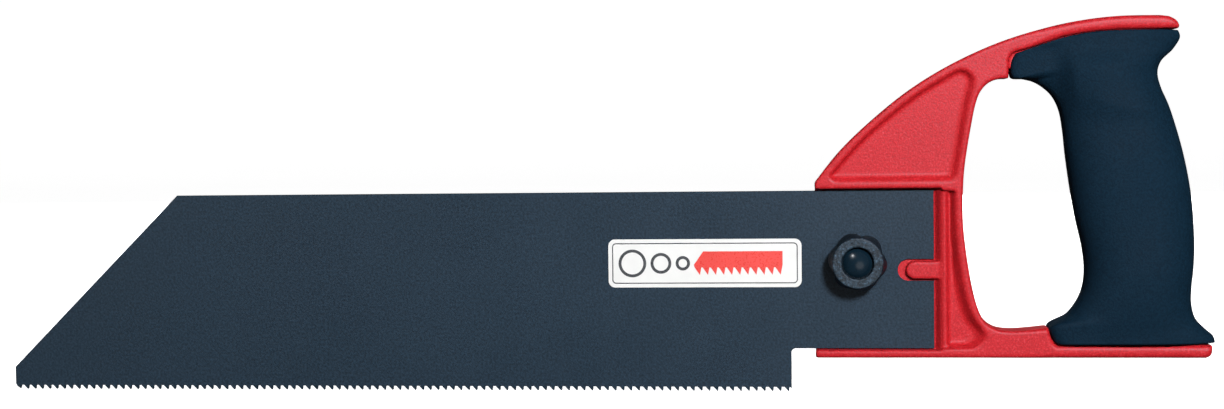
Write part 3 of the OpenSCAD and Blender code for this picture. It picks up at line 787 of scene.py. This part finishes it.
# ------------------------------------------------------- bolt, washer, knob ----
def revolve(name, profile, y0, n=96, caps=True, smooth=True):
    """Turns a profile of (radius, height towards the front from y0) round the bolt's axis."""
    verts, faces = [], []
    for r, hgt in profile:
        for k in range(n):
            a = 2 * math.pi * k / n
            verts.append((BOLT[0] + r * math.cos(a), y0 - hgt, BOLT[1] + r * math.sin(a)))
    for j in range(len(profile) - 1):
        for k in range(n):
            a, b = j * n + k, j * n + (k + 1) % n
            faces.append((a, b, b + n, a + n))
    ob = new_mesh(name, verts, faces, smooth=smooth)
    merge(ob, 1e-7)
    return ob


def arc(cr_, cz_, r, a0, a1, n=6):
    return [(cr_ + r * math.cos(math.radians(a0 + (a1 - a0) * k / n)),
             cz_ + r * math.sin(math.radians(a0 + (a1 - a0) * k / n))) for k in range(n + 1)]


def washer():
    t, ro, ri, c = 1.2, 9.0, 3.2, 0.22
    prof = (arc(ri + c, c, c, 180, 270, 4) + arc(ro - c, c, c, -90, 0, 4)
            + arc(ro - c, t - c, c, 0, 90, 4) + arc(ri + c, t - c, c, 90, 180, 4))
    prof.append(prof[0])
    return revolve("washer_ring", prof, BLADE_F)


def bolt():
    head_h, head_r = 3.2, 7.0
    ball = (head_r ** 2 + head_h ** 2) / (2 * head_h)
    # cup head on the rear: height runs backwards here, from the pocket's floor
    prof = [(0.0, -head_h)]
    top = head_r - 0.35
    for k in range(1, 21):
        r = top * k / 20
        prof.append((r, -(head_h - ball + math.sqrt(ball * ball - r * r))))
    prof += [(head_r - 0.08, -0.42), (head_r, -0.25), (head_r - 0.05, 0.0), (0.0, 0.0)]
    head = revolve("h", prof, FLOOR_B)
    # square neck with eased corners
    neck_loop = rounded_rect(BOLT[0], BOLT[1], 5.9, 5.9, 0.5, 4)
    neck = plate("n", [neck_loop], FLOOR_B - 2.9, FLOOR_B)
    # shank with a rolled M6 thread of 1 mm pitch
    y_start, y_end = FLOOR_B - 2.9, KNOB_Y - 9.5
    n, step = 40, 0.125
    rings = int(round((y_start - y_end) / step))
    verts, faces = [], []
    for j in range(rings + 1):
        y = y_start - j * (y_start - y_end) / rings
        for k in range(n):
            a = 2 * math.pi * k / n
            ph = (y + a / (2 * math.pi)) % 1.0
            tri = abs(ph - 0.5) * 2
            r = 2.95 - 0.52 * float(ease(tri * 1.15 - 0.08))
            fade = min((y_start - y) / 3.0, 1.0)
            r = 2.95 * (1 - fade) + r * fade
            tip = (y - y_end) / 0.9
            if tip < 1:
                r = min(r, 2.15 + 0.8 * tip)
            verts.append((BOLT[0] + r * math.cos(a), y, BOLT[1] + r * math.sin(a)))
    for j in range(rings):
        for k in range(n):
            a, b = j * n + k, j * n + (k + 1) % n
            faces.append((a, b, b + n, a + n))
    faces.append(tuple(range(n))[::-1])
    faces.append(tuple(rings * n + k for k in range(n)))
    shank = new_mesh("s", verts, faces)
    merge(shank, 1e-7)
    return joined([head, neck, shank], "bolt_threaded")


def knob():
    hh = 0.27
    lo, hi = (BOLT[0] - 11.9, KNOB_Y - KNOB_H - 0.8, BOLT[1] - 11.9), (BOLT[0] + 11.9, KNOB_Y + 0.8, BOLT[1] + 11.9)
    X, Y, Z = grid(lo, hi, hh)
    x, z = X - BOLT[0], Z - BOLT[1]
    r = np.hypot(x, z)
    a = np.arctan2(z, x) + math.radians(9)
    u = (KNOB_Y - Y)                              # height above the washer
    R = 10.8 - 1.3 * (1 - ((1 + np.cos(6 * a)) / 2) ** 0.6)
    lobes = (r - R) * 0.97
    # profile of the body: collar, skirt, and a cone up to the round flat face
    prof = [(0, 0), (9.4, 0), (9.4, 2), (10.1, 2), (11.2, 3.1), (11.2, 6.0), (9.4, 12.4),
            (9.0, 13), (0, 13), (-5, 13), (-5, 0)]
    rr, uu = np.broadcast_arrays(r, u)
    turned = poly_sdf(prof, rr.astype(float), uu.astype(float))
    skirt = inter(lobes, -(u - 2.0), 0.5)
    body = inter(np.minimum(skirt, inter(r - 9.4, u - 3.0, 0.2)), turned, 0.55)
    body = np.maximum(body, turned)
    body = inter(body, -inter(r - 5.8, (KNOB_H - 2.7) - u, 0.35), 0.35)
    body = np.maximum(body, -np.maximum(r - 3.4, u - (KNOB_H - 2.7) - 0.5))
    hexa = np.max([np.abs(x * math.cos(t) + z * math.sin(t)) for t in (math.pi / 6, math.pi / 2, 5 * math.pi / 6)], axis=0)
    body = np.maximum(body, -np.maximum(hexa - 5.2 * math.cos(math.pi / 6), u - 9.0))
    v, q, n = surface(body, lo, hh)
    return new_mesh("knob_lobed", v, q, n)


def dome():
    cap_z, cap_r, cap_h = KNOB_H - 2.7, 5.4, 2.5
    ball = (cap_r ** 2 + 2.1 ** 2) / (2 * 2.1)
    prof = [(0.0, cap_z), (cap_r - 0.05, cap_z), (cap_r, cap_z + 0.05), (cap_r, cap_z + 0.30)]
    for k in range(24, -1, -1):
        r = (cap_r - 0.06) * k / 24
        prof.append((r, cap_z + cap_h - ball + math.sqrt(ball * ball - r * r)))
    return revolve("knob_dome", prof, KNOB_Y)


# ------------------------------------------------------------------ build ----
RED, RUBBER, STEEL, ZINC = red_plastic(), rubber(), coated_steel(), zinc()
BRASS, KNOB, CAP = brass(), knob_plastic(), cap_plastic()
WHITE = film("label_white", (0.66, 0.66, 0.65), (0.70, 0.70, 0.69))
GREY = film("label_grey_ink", (0.035, 0.038, 0.042), (0.05, 0.053, 0.058), 0.30)
REDINK = film("label_red_ink", (0.62, 0.045, 0.035), (0.70, 0.055, 0.045), 0.30)


def finish_piece(ob, mat, body, slot_name, *nodes):
    ob.data.materials.clear()
    ob.data.materials.append(mat)
    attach(ob, body)
    if nodes:
        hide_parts(*nodes)
    return ob


finish_piece(handle(), RED, "handle", "red_moulding", "handle_frame")
finish_piece(grip(), RUBBER, "handle", "soft_rubber", "soft_grip")
finish_piece(bolt(), ZINC, "handle", "zinc_steel", "clamp_bolt")
finish_piece(blade(), STEEL, "blade", "coated_steel", "blade")
film_ob, grey_ob, red_ob = label()
finish_piece(film_ob, WHITE, "blade", "label_film", "blade_label")
finish_piece(grey_ob, GREY, "blade", "label_film")
finish_piece(red_ob, REDINK, "blade", "label_film")
finish_piece(washer(), ZINC, "washer", "zinc_steel", "pressure_washer")
finish_piece(knob(), KNOB, "knob", "knob_plastic", "knob_body")
DOME = finish_piece(dome(), CAP, "knob", "cap_plastic", "knob_cap")
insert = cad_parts["knob_insert"]
insert.data.materials.clear()
insert.data.materials.append(BRASS)

# ------------------------------------------------------------------ stage ----
def studio():
    """A round floor that curves up into a wall."""
    z0, r0, rc, top = -0.0746, 3.0, 1.2, 3.4
    prof = [(0.4, z0), (1.0, z0), (2.0, z0), (r0, z0)]
    prof += [(r0 + rc * math.sin(math.radians(a)), z0 + rc - rc * math.cos(math.radians(a))) for a in range(9, 91, 9)]
    prof += [(r0 + rc, top)]
    n = 96
    verts = [(-0.2, 0.0, z0)]
    for r, z in prof:
        verts += [(-0.2 + r * math.cos(2 * math.pi * k / n), r * math.sin(2 * math.pi * k / n), z) for k in range(n)]
    faces = [(0, 1 + k, 1 + (k + 1) % n) for k in range(n)]
    for j in range(len(prof) - 1):
        for k in range(n):
            a, b = 1 + j * n + k, 1 + j * n + (k + 1) % n
            faces.append((a, a + n, b + n, b))
    me = bpy.data.meshes.new("studio_floor")
    me.from_pydata(verts, [], faces)
    me.polygons.foreach_set("use_smooth", [True] * len(me.polygons))
    ob = bpy.data.objects.new("studio_floor", me)
    ob.data.materials.append(floor_paper())
    # the paper is seen, and takes the shadow, but throws no light back on the saw
    ob.visible_diffuse = False
    ob.visible_glossy = False
    ob.visible_shadow = False
    bpy.context.scene.collection.objects.link(ob)
    ob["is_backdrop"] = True


studio()

world = bpy.data.worlds.new("studio")
bpy.context.scene.world = world
world.use_nodes = True
wt = world.node_tree
bg = wt.nodes["Background"]
bg.inputs["Color"].default_value = (1, 1, 1, 1)
# a little brighter from the right than from the left
geo = wt.nodes.new("ShaderNodeTexCoord")
sep = wt.nodes.new("ShaderNodeSeparateXYZ")
wt.links.new(geo.outputs["Generated"], sep.inputs["Vector"])
wt.links.new(spread(wt, sep.outputs["X"], -1.0, 1.0, 0.015, 0.10), bg.inputs["Strength"])


def area(name, loc, target, size, watts, glossy=True, diffuse=True):
    li = bpy.data.lights.new(name, "AREA")
    li.shape = "DISK"
    li.size = size
    li.energy = watts
    ob = bpy.data.objects.new(name, li)
    ob.location = loc
    ob.rotation_euler = (Vector(target) - Vector(loc)).to_track_quat("-Z", "Y").to_euler()
    ob.visible_camera = False
    ob.visible_glossy = glossy
    ob.visible_diffuse = diffuse
    bpy.context.scene.collection.objects.link(ob)
    return ob


area("key", (0.23, -1.24, 0.44), (-0.12, 0, 0), 0.22, 28.5, glossy=False)
key_gloss = area("key_gloss", (0.23, -1.24, 0.44), (-0.12, 0, 0), 0.22, 27, diffuse=False)
key_gloss.data.color = (0.90, 0.97, 1.12)
left_soft = area("left_soft", (-1.15, -2.00, 0.25), (-0.22, 0, 0), 0.9, 7, diffuse=False)
area("small_left", (-0.60, -0.85, 0.66), (-0.12, 0, -0.02), 0.20, 3.6, diffuse=False)
area("small_low", (0.12, -1.05, -0.30), (-0.10, 0, 0), 0.80, 1.6, diffuse=False)
# the knob's dome mirrors the small lights alone
off = bpy.data.collections.new("not_in_the_dome")
off.objects.link(DOME)
off.collection_objects[0].light_linking.link_state = "EXCLUDE"
key_gloss.light_linking.receiver_collection = off
left_soft.light_linking.receiver_collection = off
area("rear", (-0.25, 1.9, 0.55), (-0.15, 0, 0), 1.4, 46, glossy=False)

# ----------------------------------------------------------------- camera ----
yaw, pitch, roll = math.radians(6.540172), math.radians(2.181793), math.radians(0.661502)
cy, sy, cp, sp = math.cos(yaw), math.sin(yaw), math.cos(pitch), math.sin(pitch)
R0 = Vector((cy, sy, 0))
F0 = Vector((-sy * cp, cy * cp, -sp))
U0 = Vector((-sy * sp, cy * sp, cp))
R1 = math.cos(roll) * R0 - math.sin(roll) * U0
U1 = math.sin(roll) * R0 + math.cos(roll) * U0
cam_data = bpy.data.cameras.new("camera")
cam_data.lens = 60.957
cam_data.sensor_width = 36
cam_data.clip_start = 0.01
cam = bpy.data.objects.new("camera", cam_data)
cam.matrix_world = Matrix(((R1.x, U1.x, -F0.x, -0.10124), (R1.y, U1.y, -F0.y, -0.77265),
                           (R1.z, U1.z, -F0.z, 0.02501), (0, 0, 0, 1)))
bpy.context.scene.collection.objects.link(cam)
bpy.context.scene.camera = cam
bpy.context.scene.view_settings.view_transform = "Standard"

vis_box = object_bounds()
as_list = lambda b: [[float(x) for x in p] for p in b]
